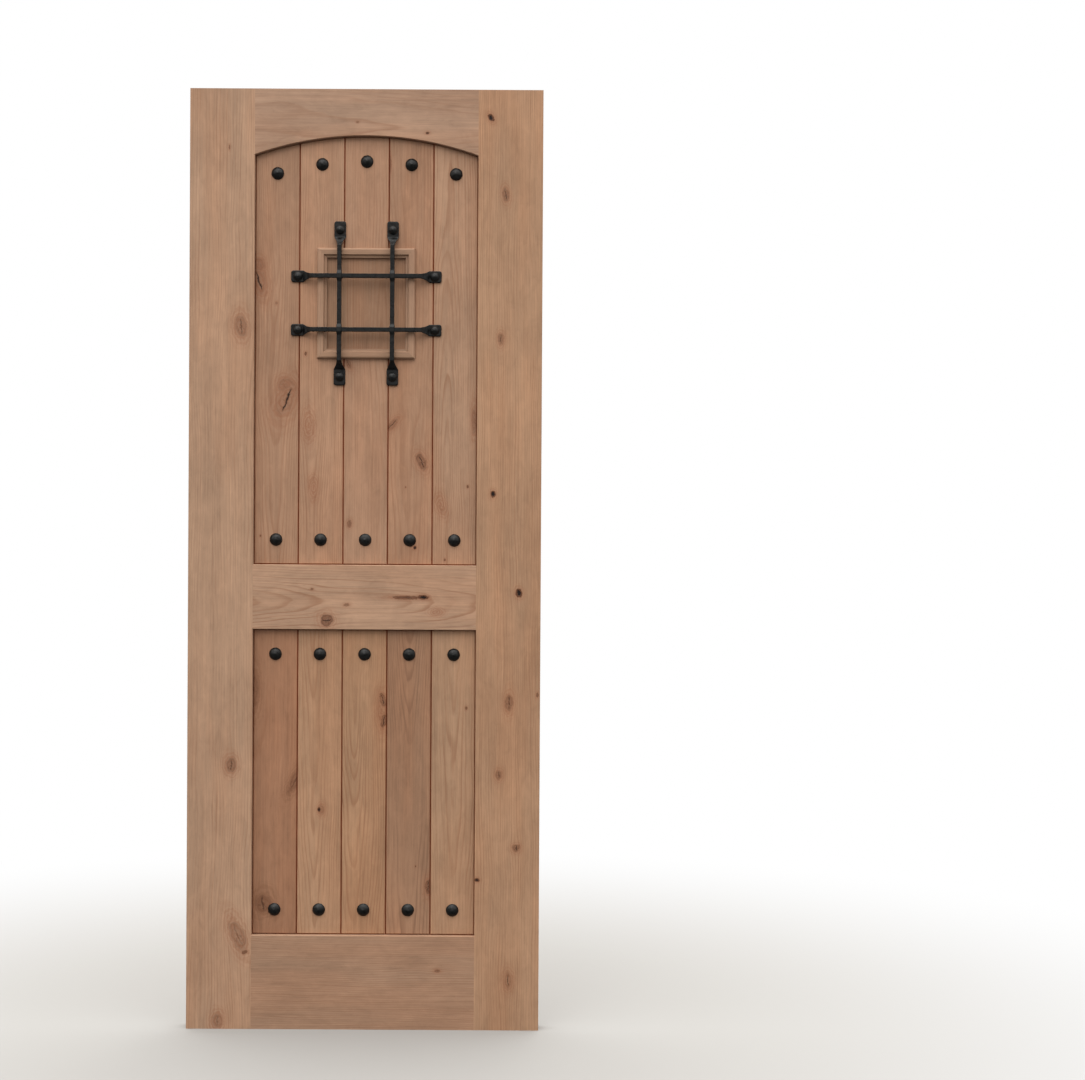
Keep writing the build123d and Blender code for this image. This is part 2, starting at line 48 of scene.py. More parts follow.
# Colours are written as the eye reads them, 0 to 255, and turned into what the shaders work with
def paint(colour):
    steps = [value / 255 for value in colour]
    return tuple(s / 12.92 if s <= 0.04045 else ((s + 0.055) / 1.055) ** 2.4 for s in steps) + (1.0,)


# Small helpers that keep the node trees readable
def addNode(tree, kind, inputs=None, **settings):
    made = tree.nodes.new(kind)
    for key, value in settings.items():
        setattr(made, key, value)
    for key, value in (inputs or {}).items():
        if isinstance(value, bpy.types.NodeSocket):
            tree.links.new(value, made.inputs[key])
        else:
            made.inputs[key].default_value = value
    return made


def calc(tree, operation, *values):
    return addNode(tree, "ShaderNodeMath", dict(enumerate(values)), operation=operation).outputs[0]


def vecCalc(tree, operation, *values):
    made = addNode(tree, "ShaderNodeVectorMath", dict(enumerate(values)), operation=operation)
    return made.outputs["Value" if operation == "LENGTH" else "Vector"]


def split(tree, vector):
    return addNode(tree, "ShaderNodeSeparateXYZ", {0: vector}).outputs


def join(tree, x, y, z):
    return addNode(tree, "ShaderNodeCombineXYZ", {0: x, 1: y, 2: z}).outputs[0]


def noise(tree, vector, scale, detail=2.0, roughness=0.5, distortion=0.0):
    inputs = {"Vector": vector, "Scale": scale, "Detail": detail, "Roughness": roughness}
    return addNode(tree, "ShaderNodeTexNoise", {**inputs, "Distortion": distortion}).outputs[0]


# A smooth step from start to end, as value goes from low to high
def ease(tree, value, low, high, start=0.0, end=1.0):
    inputs = {"Value": value, "From Min": low, "From Max": high, "To Min": start, "To Max": end}
    return addNode(tree, "ShaderNodeMapRange", inputs, interpolation_type="SMOOTHSTEP").outputs[0]


# Sockets 6, 7 and 2 are the colours of a Mix node
def mixColour(tree, factor, a, b, mode="MIX"):
    inputs = {0: factor, 6: a, 7: b}
    return addNode(tree, "ShaderNodeMix", inputs, data_type="RGBA", blend_type=mode).outputs[2]


def sockets(kind, *labels):
    return [(label, "NodeSocket" + kind) for label in labels]


def newGroup(name, kind, inputs, outputs):
    tree = bpy.data.node_groups.new(name, kind)
    for side, rows in (("INPUT", inputs), ("OUTPUT", outputs)):
        for label, socketType in rows:
            tree.interface.new_socket(name=label, in_out=side, socket_type=socketType)
    return tree, tree.nodes.new("NodeGroupInput").outputs, tree.nodes.new("NodeGroupOutput").inputs


def newMaterial(name):
    material = bpy.data.materials.new(name)
    material.use_nodes = True
    tree = material.node_tree
    return material, tree, tree.nodes["Principled BSDF"]


def addObject(name, data):
    made = bpy.data.objects.new(name, data)
    bpy.context.scene.collection.objects.link(made)
    return made


# How a knot is drawn. Distances are shares of its radius; rings are beat, depth and middle.
knotShape = {
    "lumps": 0.9, "lumpDetail": 3.0, "lumpRoughness": 0.6, "unevenness": 1.3, "grainGap": 0.3,
    "coreEdge": (1.05, 0.7), "rimAt": 0.95, "rimWidth": 0.28,
    "coreRings": (17.0, 0.22, 0.72), "haloRings": (11.0, 0.35, 0.65), "haloEdge": (3.2, 0.6),
    "crackBend": 0.9, "crackWidth": 0.2, "crackEnds": (0.95, 0.55),
    "starArms": 1.5, "starTwist": 5.0, "starWidth": 0.3, "starEnds": (1.0, 0.6), "starDepth": 0.8,
    "heartEdge": (0.85, 0.5), "heartFrom": (0.85, 1.0),
}


# The grain flows round a knot. The marks gather how dark, haloed and cracked a spot is, as X, Y and Z.
# Board coordinates: X across the grain, Y through the board, Z along the grain.
def makeKnotGroup():
    shape = knotShape
    inputs = sockets("Vector", "Vector", "Marks", "Place")
    inputs += sockets("Float", "Radius", "Stretch", "Lean", "Core", "Crack")
    tree, given, out = newGroup("knotFlow", "ShaderNodeTree", inputs, sockets("Vector", "Vector", "Marks"))
    radius = given["Radius"]
    away = vecCalc(tree, "SUBTRACT", given["Vector"], given["Place"])
    turning = {"Vector": away, "Angle": given["Lean"]}
    turned = addNode(tree, "ShaderNodeVectorRotate", turning, rotation_type="Y_AXIS").outputs[0]
    across, _, along = split(tree, turned)
    shortAlong = calc(tree, "DIVIDE", along, given["Stretch"])
    lumps = vecCalc(tree, "DIVIDE", given["Vector"], join(tree, radius, radius, radius))
    lumps = noise(tree, lumps, shape["lumps"], shape["lumpDetail"], shape["lumpRoughness"])
    rough = calc(tree, "SUBTRACT", lumps, 0.5)
    distance = vecCalc(tree, "LENGTH", join(tree, across, 0.0, shortAlong))
    share = calc(tree, "DIVIDE", distance, radius)
    ragged = calc(tree, "ADD", share, calc(tree, "MULTIPLY", rough, shape["unevenness"]))

    def rings(beat, depth, middle):
        wave = calc(tree, "SINE", calc(tree, "MULTIPLY", ragged, beat))
        return calc(tree, "MULTIPLY_ADD", wave, depth, middle)

    near = calc(tree, "ADD", calc(tree, "MULTIPLY", share, share), shape["grainGap"])
    shift = calc(tree, "MULTIPLY", across, calc(tree, "DIVIDE", 1.0, near))
    x, y, z = split(tree, given["Vector"])
    core = ease(tree, ragged, *shape["coreEdge"])
    fromRim = calc(tree, "ABSOLUTE", calc(tree, "SUBTRACT", ragged, shape["rimAt"]))
    rim = ease(tree, fromRim, shape["rimWidth"], 0.0)
    dark = calc(tree, "MAXIMUM", calc(tree, "MULTIPLY", core, rings(*shape["coreRings"])), rim)
    dark = calc(tree, "MULTIPLY", dark, given["Core"])
    halo = calc(tree, "MULTIPLY", ease(tree, ragged, *shape["haloEdge"]), rings(*shape["haloRings"]))
    bent = calc(tree, "MULTIPLY_ADD", calc(tree, "MULTIPLY", rough, radius), shape["crackBend"], across)
    crackHalf = calc(tree, "MULTIPLY", radius, shape["crackWidth"])
    thin = ease(tree, calc(tree, "ABSOLUTE", bent), crackHalf, 0.0)
    crack = calc(tree, "MULTIPLY", thin, ease(tree, share, *shape["crackEnds"]))
    crack = calc(tree, "MULTIPLY", crack, given["Crack"])
    # A dark core splits into a star as well
    around = calc(tree, "ARCTAN2", across, shortAlong)
    twist = calc(tree, "MULTIPLY", rough, shape["starTwist"])
    arms = calc(tree, "SINE", calc(tree, "MULTIPLY_ADD", around, shape["starArms"], twist))
    arms = ease(tree, calc(tree, "ABSOLUTE", arms), shape["starWidth"], 0.0)
    star = calc(tree, "MULTIPLY", arms, ease(tree, share, *shape["starEnds"]))
    star = calc(tree, "MULTIPLY", star, given["Core"])
    crack = calc(tree, "MAXIMUM", crack, calc(tree, "MULTIPLY", star, shape["starDepth"]))
    # The darkest knots have a black heart
    blackness = ease(tree, given["Core"], *shape["heartFrom"])
    heart = calc(tree, "MULTIPLY", ease(tree, ragged, *shape["heartEdge"]), blackness)
    crack = calc(tree, "MAXIMUM", crack, heart)
    before = split(tree, given["Marks"])
    marks = [calc(tree, "MAXIMUM", old, new) for old, new in zip(before, (dark, halo, crack))]
    tree.links.new(join(tree, calc(tree, "SUBTRACT", x, shift), y, z), out["Vector"])
    tree.links.new(join(tree, *marks), out["Marks"])
    return tree


# The wood's patterns: how fine across and along the grain, per metre, then detail, roughness, distortion
grainPatterns = {
    "wander": (14.0, 2.8, 2.0, 0.4, 0.0), "ripple": (60.0, 11.0, 2.0, 0.5, 0.0),
    "patches": (9.0, 4.0, 2.0, 0.5, 0.0), "broad": (42.0, 1.1, 2.0, 0.55, 0.0),
    "narrow": (210.0, 3.0, 2.0, 0.6, 0.0), "silk": (520.0, 13.0, 2.0, 0.6, 0.0),
    "cloud": (11.0, 4.5, 3.0, 0.55, 0.4), "mottle": (52.0, 24.0, 3.0, 0.6, 0.8),
    "fibre": (1500.0, 26.0, 3.0, 0.65, 0.0), "fleck": (900.0, 95.0, 1.0, 0.5, 0.0),
    "warmth": (16.0, 2.2, 2.0, 0.5, 0.0),
}
# What the patterns do to rings, tone, gloss and relief, and where shade is painted; lengths in metres
grainLook = {
    "seedSpread": (0.7, 1.3), "wanderRings": 6.0, "rippleRings": 0.55,
    "ringRise": (0.3, 0.85), "ringFall": (1.0, 0.86), "yearRange": (-0.4, 0.9),
    "patchEdge": (0.3, 0.62), "patchRange": (0.3, 1.0),
    "tone": {"narrow": 0.3, "silk": 0.38, "cloud": 0.6, "mottle": 0.36, "fibre": 0.36},
    "fleckEdge": (0.66, 0.76), "fleckTone": -0.12,
    "warmEdge": (0.35, 0.7), "warmRange": (0.0, 0.8), "warmTint": (1.03, 0.95, 0.9, 1.0), "haloTone": 0.6,
    # The next line places the painted shade in the plank joints and the painted shadow at the planks' foot
    "jointShadeDepth": (0.0003, 0.0017), "jointShadeHalf": (0.006, 0.004), "footShadow": (0.0028, 0.0012),
    "rough": 0.5, "roughFibre": 0.14, "roughKnot": -0.1,
    "reliefFibre": 0.5, "reliefLine": -0.35, "reliefFleck": -0.3, "reliefCrack": -2.0, "reliefKnot": -0.25,
}


# Annual rings round a pith that lies below the board, with fibres, streaks and cloudy tone, and painted shade in
# the plank joints and at their foot
def makeGrainGroup():
    look = grainLook
    inputs = sockets("Vector", "Vector", "Plain", "Marks", "Pith")
    inputs += sockets("Float", "Lean", "Ring Gap", "Rings", "Streaks", "Seed", "Face", "Pitch", "Foot")
    # The first colour input tints the painted shade in the plank joints and the painted shadow at their foot
    inputs += sockets("Color", "Shade Tint", "Tone", "Line", "Halo", "Knot", "Crack")
    outputs = sockets("Color", "Color") + sockets("Float", "Roughness", "Height")
    tree, given, out = newGroup("woodGrain", "ShaderNodeTree", inputs, outputs)
    seed = given["Seed"]
    offset = join(tree, seed, *[calc(tree, "MULTIPLY", seed, spread) for spread in look["seedSpread"]])
    flow = vecCalc(tree, "ADD", given["Vector"], offset)
    plain = vecCalc(tree, "ADD", given["Plain"], offset)

    def pattern(name, over):
        across, along, detail, roughness, distortion = grainPatterns[name]
        stretched = vecCalc(tree, "MULTIPLY", over, (across, across, along))
        return noise(tree, stretched, 1.0, detail, roughness, distortion)

    x, y, z = split(tree, given["Vector"])
    pithX, pithY, _ = split(tree, given["Pith"])
    depth = calc(tree, "MULTIPLY_ADD", z, given["Lean"], calc(tree, "SUBTRACT", y, pithY))
    radial = vecCalc(tree, "LENGTH", join(tree, calc(tree, "SUBTRACT", x, pithX), depth, 0.0))
    ringAt = calc(tree, "DIVIDE", radial, given["Ring Gap"])
    ringAt = calc(tree, "MULTIPLY_ADD", pattern("wander", flow), look["wanderRings"], ringAt)
    ringAt = calc(tree, "MULTIPLY_ADD", pattern("ripple", flow), look["rippleRings"], ringAt)
    within = calc(tree, "FRACT", ringAt)
    year = {"W": calc(tree, "FLOOR", ringAt)}
    yearDark = addNode(tree, "ShaderNodeTexWhiteNoise", year, noise_dimensions="1D").outputs[0]
    rise = ease(tree, within, *look["ringRise"])
    fall = ease(tree, within, *look["ringFall"])
    line = calc(tree, "MULTIPLY", calc(tree, "MULTIPLY", rise, rise), fall)
    line = calc(tree, "MULTIPLY", line, ease(tree, yearDark, *look["yearRange"]))
    patchy = ease(tree, pattern("patches", flow), *look["patchEdge"], *look["patchRange"])
    line = calc(tree, "MULTIPLY", calc(tree, "MULTIPLY", line, patchy), given["Rings"])

    fibre = pattern("fibre", flow)
    fleck = ease(tree, pattern("fleck", flow), *look["fleckEdge"])
    layers = {
        "narrow": pattern("narrow", flow), "silk": pattern("silk", flow), "cloud": pattern("cloud", plain),
        "mottle": pattern("mottle", flow), "fibre": fibre,
    }
    broad = calc(tree, "SUBTRACT", pattern("broad", flow), 0.5)
    tone = calc(tree, "MULTIPLY_ADD", broad, given["Streaks"], 1.0)
    for name, amount in look["tone"].items():
        tone = calc(tree, "MULTIPLY_ADD", calc(tree, "SUBTRACT", layers[name], 0.5), amount, tone)
    tone = calc(tree, "MULTIPLY_ADD", fleck, look["fleckTone"], tone)
    grey = addNode(tree, "ShaderNodeCombineColor", {0: tone, 1: tone, 2: tone}).outputs[0]
    colour = mixColour(tree, 1.0, given["Tone"], grey, "MULTIPLY")
    warmth = ease(tree, pattern("warmth", plain), *look["warmEdge"], *look["warmRange"])
    colour = mixColour(tree, warmth, colour, mixColour(tree, 1.0, colour, look["warmTint"], "MULTIPLY"))
    colour = mixColour(tree, line, colour, given["Line"])
    markDark, markHalo, markCrack = split(tree, given["Marks"])
    colour = mixColour(tree, calc(tree, "MULTIPLY", markHalo, look["haloTone"]), colour, given["Halo"])
    colour = mixColour(tree, markDark, colour, given["Knot"])
    colour = mixColour(tree, markCrack, colour, given["Crack"])
    # The joints between planks lie below the face, a pitch apart; painted shade darkens them, deeper down more,
    # and a painted shadow darkens the planks' foot.
    plainX, plainY, plainZ = split(tree, given["Plain"])
    depths = [calc(tree, "SUBTRACT", given["Face"], down) for down in look["jointShadeDepth"]]
    paintedShade = ease(tree, calc(tree, "ABSOLUTE", plainY), *depths)
    fromJoint = calc(tree, "FRACT", calc(tree, "DIVIDE", plainX, given["Pitch"]))
    fromJoint = calc(tree, "ABSOLUTE", calc(tree, "SUBTRACT", fromJoint, 0.5))
    fromJoint = calc(tree, "MULTIPLY", fromJoint, given["Pitch"])
    paintedShade = calc(tree, "MULTIPLY", paintedShade, ease(tree, fromJoint, *look["jointShadeHalf"]))
    aboveFoot = calc(tree, "SUBTRACT", plainZ, given["Foot"])
    paintedShade = calc(tree, "MAXIMUM", paintedShade, ease(tree, aboveFoot, *look["footShadow"]))
    colour = mixColour(tree, paintedShade, colour, mixColour(tree, 1.0, colour, given["Shade Tint"], "MULTIPLY"))

    sheen = calc(tree, "MULTIPLY_ADD", fibre, look["roughFibre"], look["rough"])
    sheen = calc(tree, "MULTIPLY_ADD", markDark, look["roughKnot"], sheen)
    height = calc(tree, "MULTIPLY", line, look["reliefLine"])
    height = calc(tree, "MULTIPLY_ADD", fibre, look["reliefFibre"], height)
    for mark, amount in ((fleck, "reliefFleck"), (markCrack, "reliefCrack"), (markDark, "reliefKnot")):
        height = calc(tree, "MULTIPLY_ADD", mark, look[amount], height)
    tree.links.new(colour, out["Color"])
    tree.links.new(sheen, out["Roughness"])
    tree.links.new(height, out["Height"])
    return tree


knotFlow = makeKnotGroup()
woodGrain = makeGrainGroup()

# What one board is like unless its own line says otherwise. Tones are 0 to 255, lengths in millimetres.
# The pith is where the tree's middle lies, across the grain and behind the leaf's middle.
# Knots are given where they show on the leaf: x, z, radius, stretch, lean in degrees, core, crack.
plainBoard = {
    "grain": "up", "tone": (168, 134, 109), "line": (134, 90, 64), "halo": (144, 91, 64),
    # One colour here tints the painted shade in the plank joints and the painted shadow at their foot
    "knot": (82, 43, 26), "crack": (32, 20, 15), "shade tint": (205, 142, 112), "pith": (0.0, 60.0), "lean": 0.02,
    "ringGap": 4.5, "rings": 0.6, "streaks": 0.3, "specular": 0.2, "bump": 0.35, "bumpHeight": 0.6, "knots": [],
}
perMetre = 1000
planksInPanel = 5
boardSeed = 0.37  # from one board to the next
plankFace = -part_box("upper_plank_1")[0].y
plankPitch = -2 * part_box("hinge_stile")[1].x / planksInPanel
plankFoot = {"upper_plank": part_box("mid_rail")[1].z, "lower_plank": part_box("bottom_rail")[1].z}
noFoot = -1.0  # so far down that no board gets a painted foot shadow there

boards = {
    "hinge_stile": {
        "tone": (172, 139, 114), "pith": (-560.0, 40.0), "ringGap": 6.0, "rings": 0.38, "streaks": 0.22,
        "knots": [
            (-296, 1905, 1.5, 3.0, 0, 0.6, 0.3), (-269, 1519, 11.5, 1.8, 4, 0.34, 0.6),
            (-286, 571, 10.0, 1.4, 0, 0.42, 0.6), (-270, 203, 12.5, 2.5, 22, 0.34, 0.3),
            (-255, 166, 2.8, 1.4, -20, 0.75, 0.4), (-312, 17, 10.0, 1.4, 0, 0.3, 0.3),
        ],
    },
    "lock_stile": {
        "tone": (170, 134, 106), "pith": (520.0, 60.0), "ringGap": 5.0, "rings": 0.4, "streaks": 0.24,
        "knots": [
            (268, 1972, 5.0, 1.7, 28, 1.0, 0.8), (301, 1806, 6.5, 2.0, 8, 0.42, 0.9),
            (292, 1495, 5.5, 2.0, 0, 0.4, 0.8), (277, 1160, 5.0, 1.3, 0, 1.0, 0.5),
            (334, 947, 6.4, 1.3, 10, 1.0, 0.6), (314, 709, 7.5, 2.2, 0, 0.45, 0.8),
            (293, 553, 6.0, 1.4, 0, 0.4, 0.8), (331, 395, 7.0, 1.0, 0, 0.55, 0.9),
            (247, 325, 4.6, 0.8, 0, 0.97, 0.3), (315, 109, 7.5, 2.0, 0, 0.2, 0.85),
            (374, 726, 2.4, 2.0, 0, 0.7, 0.2),
        ],
    },
    "top_rail": {
        "grain": "across", "tone": (165, 134, 112), "pith": (1960.0, 90.0), "lean": 0.03, "ringGap": 5.0,
        "rings": 0.36, "knots": [(-20, 1961, 1.8, 1.5, 0, 0.55, 0.2), (131, 1938, 2.6, 1.5, 0, 0.92, 0.3)],
    },
    "mid_rail": {
        "grain": "across", "tone": (175, 141, 116), "pith": (925.0, 38.0), "lean": 0.055, "ringGap": 4.6,
        "rings": 0.52,
        "knots": [
            (-81, 886, 11.5, 1.0, 0, 0.75, 1.0), (127, 936, 4.4, 2.4, 0, 1.0, 1.0),
            (88, 935, 3.2, 8.0, 0, 0.8, 0.8), (-113, 951, 2.0, 1.5, 0, 0.7, 0.2),
            (-38, 918, 2.8, 2.0, 10, 0.55, 0.3), (156, 905, 6.0, 1.7, 0, 0.12, 0.0),
        ],
    },
    "bottom_rail": {
        "grain": "across", "tone": (160, 128, 105), "pith": (-160.0, 70.0), "ringGap": 4.0, "rings": 0.4,
        "streaks": 0.16, "knots": [(162, 128, 3.0, 1.8, 0, 0.5, 0.3)],
    },
    "upper_plank_1": {
        "tone": (162, 126, 101), "pith": (-200.0, 45.0), "rings": 0.42, "lean": 0.03,
        "knots": [
            (-233, 1619, 13.0, 2.0, 16, 0.2, 0.95), (-171, 1362, 17.0, 1.9, -20, 0.14, 1.0),
            (-227, 1067, 1.6, 1.3, 0, 0.7, 0.2), (-170, 1396, 12.0, 1.1, -20, 0.2, 0.0),
            (-236, 1655, 10.0, 1.2, 0, 0.26, 0.0), (-196, 1571, 2.0, 1.6, 0, 0.4, 0.0),
        ],
    },
    "upper_plank_2": {
        "tone": (170, 133, 107), "pith": (-118.0, 34.0), "lean": 0.03, "rings": 0.45,
        "knots": [
            (-131, 1462, 2.4, 1.4, 0, 0.85, 0.3), (-124, 1307, 9.0, 2.4, 0, 0.0, 0.0),
            (-113, 1172, 6.5, 2.6, 0, 0.0, 0.0),
        ],
    },
    "upper_plank_3": {
        "tone": (167, 131, 106), "pith": (60.0, 70.0), "rings": 0.32, "streaks": 0.2,
        "knots": [(-38, 1440, 4.5, 2.2, 25, 0.4, 0.7), (-34, 1094, 4.5, 1.5, 0, 0.5, 0.3)],
    },
    "upper_plank_4": {
        "tone": (167, 129, 103), "pith": (90.0, 60.0), "rings": 0.34, "streaks": 0.18,
        "knots": [
            (57, 1309, 6.0, 2.8, -42, 0.34, 0.9), (121, 1229, 8.5, 1.9, 24, 0.55, 1.0),
            (88, 1174, 1.3, 1.3, 0, 0.6, 0.2), (108, 1043, 3.0, 1.2, 0, 1.0, 0.4),
            (50, 1872, 2.6, 6.0, 0, 0.4, 0.0),
        ],
    },
    "upper_plank_5": {
        "tone": (169, 135, 110), "pith": (178.0, 40.0), "lean": 0.045, "rings": 0.5,
        "knots": [
            (235, 1319, 5.0, 5.0, 0, 0.35, 0.0), (222, 1176, 2.0, 1.4, 0, 0.85, 0.3),
            (173, 1017, 1.8, 1.6, 0, 0.8, 0.2), (164, 1136, 8.0, 2.0, 18, 0.06, 0.0),
        ],
    },
    "lower_plank_1": {
        "tone": (155, 114, 88), "halo": (118, 78, 54), "pith": (-230.0, 80.0), "rings": 0.3, "streaks": 0.16,
        "knots": [
            (-239, 732, 9.0, 4.0, 0, 0.35, 0.0), (-149, 538, 9.0, 3.0, -26, 0.4, 0.5),
            (-218, 270, 15.0, 1.3, 0, 0.42, 0.6),
        ],
    },
    "lower_plank_2": {
        "tone": (169, 133, 105), "pith": (-110.0, 36.0), "rings": 0.45, "lean": 0.04, "streaks": 0.26,
        "knots": [(-97, 474, 3.0, 1.6, 0, 0.97, 0.9), (-92, 475, 6.0, 1.5, 0, 0.24, 0.0)],
    },
    "lower_plank_3": {
        "tone": (166, 129, 100), "pith": (-20.0, 36.0), "lean": 0.045, "rings": 0.52,
        "knots": [
            (40, 713, 5.5, 2.6, 12, 0.58, 1.0), (43, 667, 5.5, 2.6, -10, 0.6, 1.0),
            (41, 690, 9.0, 3.0, 0, 0.16, 0.0),
        ],
    },
    "lower_plank_4": {
        "tone": (154, 118, 93), "line": (122, 88, 68), "pith": (98.0, 42.0), "lean": 0.035, "rings": 0.62,
        "streaks": 0.12, "knots": [(113, 352, 1.2, 1.5, 0, 0.8, 0.2), (141, 308, 6.5, 2.4, 0, 0.55, 1.0)],
    },
    "lower_plank_5": {
        "tone": (168, 134, 107), "pith": (196.0, 44.0), "lean": 0.045, "rings": 0.5,
        "knots": [(221, 696, 2.4, 1.3, 0, 0.7, 0.3)],
    },
    "speakeasy_door": {
        "tone": (157, 122, 97), "pith": (30.0, 30.0), "lean": 0.04, "rings": 0.5, "streaks": 0.14,
    },
    "port_moulding_sides": {"tone": (163, 131, 108), "pith": (-240.0, 60.0), "rings": 0.35},
    "port_moulding_ends": {"grain": "across", "tone": (154, 125, 103), "pith": (1400.0, 60.0), "rings": 0.35},
    "port_casing_sides": {"tone": (174, 138, 111), "pith": (240.0, 50.0), "rings": 0.35},
    "port_casing_ends": {"grain": "across", "tone": (172, 136, 109), "pith": (1700.0, 50.0), "rings": 0.35},
    "dowels": {
        "grain": "across", "tone": (196, 166, 128), "line": (170, 134, 96), "pith": (900.0, 400.0), "rings": 0.3,
    },
}

# Which nodes each board's wood dresses, where the names differ
boardNodes = {
    "upper_plank_3": ["upper_plank_3_below_port", "upper_plank_3_above_port"],
    "port_moulding_sides": ["port_moulding_left", "port_moulding_right"],
    "port_moulding_ends": ["port_moulding_top", "port_moulding_bottom"],
    "port_casing_sides": ["port_casing_left", "port_casing_right"],
    "port_casing_ends": ["port_casing_top", "port_casing_bottom"],
    "dowels": ["top_rail_dowels", "mid_rail_dowels", "bottom_rail_dowels"],
}


def makeWood(name, own, seed):
    board = {**plainBoard, **own}
    material, tree, shader = newMaterial(name + "_wood")
    place = addNode(tree, "ShaderNodeTexCoord").outputs["Object"]
    across = board["grain"] == "across"
    if across:  # a quarter turn about Y lays the board's length along the leaf's X
        quarterTurn = {"Vector": place, "Rotation": (0.0, math.pi / 2, 0.0)}
        place = addNode(tree, "ShaderNodeMapping", quarterTurn).outputs[0]
    flow, marks = place, (0.0, 0.0, 0.0)
    for x, z, radius, stretch, lean, core, crack in board["knots"]:
        at = (z, 0.0, -x) if across else (x, 0.0, z)
        inputs = {
            "Vector": flow, "Marks": marks, "Place": tuple(value / perMetre for value in at),
            "Radius": radius / perMetre, "Stretch": stretch, "Lean": math.radians(lean),
            "Core": core, "Crack": crack,
        }
        flow, marks = addNode(tree, "ShaderNodeGroup", inputs, node_tree=knotFlow).outputs
    pithX, pithDepth = board["pith"]
    inputs = {
        "Vector": flow, "Plain": place, "Marks": marks, "Pith": (pithX / perMetre, pithDepth / perMetre, 0.0),
        "Lean": board["lean"], "Ring Gap": board["ringGap"] / perMetre, "Rings": board["rings"],
        "Streaks": board["streaks"], "Seed": boardSeed * seed, "Face": plankFace if "plank" in name else 0.0,
        "Pitch": plankPitch, "Foot": plankFoot.get(name.rsplit("_", 1)[0], noFoot),
    }
    for socket in ("Shade Tint", "Tone", "Line", "Halo", "Knot", "Crack"):
        inputs[socket] = paint(board[socket.lower()])
    colour, roughness, height = addNode(tree, "ShaderNodeGroup", inputs, node_tree=woodGrain).outputs
    relief = {"Strength": board["bump"], "Distance": board["bumpHeight"] / perMetre, "Height": height}
    bump = addNode(tree, "ShaderNodeBump", relief)
    tree.links.new(colour, shader.inputs["Base Color"])
    tree.links.new(roughness, shader.inputs["Roughness"])
    tree.links.new(bump.outputs[0], shader.inputs["Normal"])
    shader.inputs["Specular IOR Level"].default_value = board["specular"]
    return material


def dress(node, material):
    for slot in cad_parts[node].material_slots:
        slot.material = material


for seed, (name, own) in enumerate(boards.items(), 1):
    wood = makeWood(name, own, seed)
    for node in boardNodes.get(name, [name]):
        dress(node, wood)
print("wood: boards", len(boards))

# Blackened forged iron, black steel and worn bright steel; colours 0 to 255, dents and specks in metres
metals = {
    "forged_iron": {
        "dark": (6, 6, 6), "light": (21, 22, 22), "rust": (36, 26, 20), "rustAmount": 0.25, "specular": 0.28,
        "rough": (0.24, 0.4), "dentSize": 0.006, "speckSize": 0.0007, "bump": 0.5, "bumpHeight": 0.0004,
    },
    "black_steel": {
        "dark": (24, 24, 25), "light": (36, 36, 38), "rust": (60, 46, 34), "rustAmount": 0.08, "specular": 0.45,
        "rough": (0.32, 0.46), "dentSize": 0.02, "speckSize": 0.0005, "bump": 0.25, "bumpHeight": 0.0001,
    },
    "worn_steel": {
        "dark": (62, 60, 58), "light": (118, 116, 112), "rust": (84, 62, 44), "rustAmount": 0.15,
        "specular": 0.6, "rough": (0.3, 0.44), "dentSize": 0.008, "speckSize": 0.0004, "bump": 0.2,
        "bumpHeight": 0.0001,
    },
}
# How dents and specks make wear, rust, gloss and relief on all of them
metalMix = {
    "speckDetail": 3.0, "speckRoughness": 0.6, "wearSpecks": 0.35, "wearEdge": (0.45, 0.95),
    "rustPatches": 0.4, "rustDetail": 4.0, "rustRoughness": 0.65, "rustEdge": (0.52, 0.72),
    "glossSpecks": 0.5, "glossDents": 0.5, "glossEdge": (0.3, 0.7), "reliefSpecks": 0.12,
}


def makeMetal(name, look):
    mix = metalMix
    material, tree, shader = newMaterial(name + "_finish")
    place = addNode(tree, "ShaderNodeTexCoord").outputs["Object"]
    dents = noise(tree, place, 1 / look["dentSize"])
    specks = noise(tree, place, 1 / look["speckSize"], mix["speckDetail"], mix["speckRoughness"])
    worn = ease(tree, calc(tree, "MULTIPLY_ADD", specks, mix["wearSpecks"], dents), *mix["wearEdge"])
    rust = noise(tree, place, mix["rustPatches"] / look["dentSize"], mix["rustDetail"], mix["rustRoughness"])
    rust = ease(tree, rust, *mix["rustEdge"], 0.0, look["rustAmount"])
    colour = mixColour(tree, worn, paint(look["dark"]), paint(look["light"]))
    colour = mixColour(tree, rust, colour, paint(look["rust"]))
    gloss = calc(tree, "MULTIPLY", dents, mix["glossDents"])
    gloss = calc(tree, "MULTIPLY_ADD", specks, mix["glossSpecks"], gloss)
    gloss = ease(tree, gloss, *mix["glossEdge"], *look["rough"])
    height = calc(tree, "MULTIPLY_ADD", specks, mix["reliefSpecks"], dents)
    relief = {"Strength": look["bump"], "Distance": look["bumpHeight"], "Height": height}
    bump = addNode(tree, "ShaderNodeBump", relief)
    tree.links.new(colour, shader.inputs["Base Color"])
    tree.links.new(gloss, shader.inputs["Roughness"])
    tree.links.new(bump.outputs[0], shader.inputs["Normal"])
    shader.inputs["Specular IOR Level"].default_value = look["specular"]
    return material


finishes = {name: makeMetal(name, look) for name, look in metals.items()}
iron = finishes["forged_iron"]
metalNodes = {
    "forged_iron": ("clavos", "grille"),
    "black_steel": ("upper_hinge", "lower_hinge", "bolt_base", "bolt_knob", "bolt_keeper"),
    "worn_steel": ("bolt_rod", "bolt_screws", "keeper_screws", "hinge_casing_screws", "hinge_door_screws"),
}
metalCount = 0
for name, starts in metalNodes.items():
    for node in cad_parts:
        if node.startswith(starts):
            dress(node, finishes[name])
            metalCount += 1
print("metal: nodes", metalCount)

# A dent is the middle of a cell of the pattern, out to its edge
hammering = {"smoothness": 0.6, "dentEdge": 0.62}


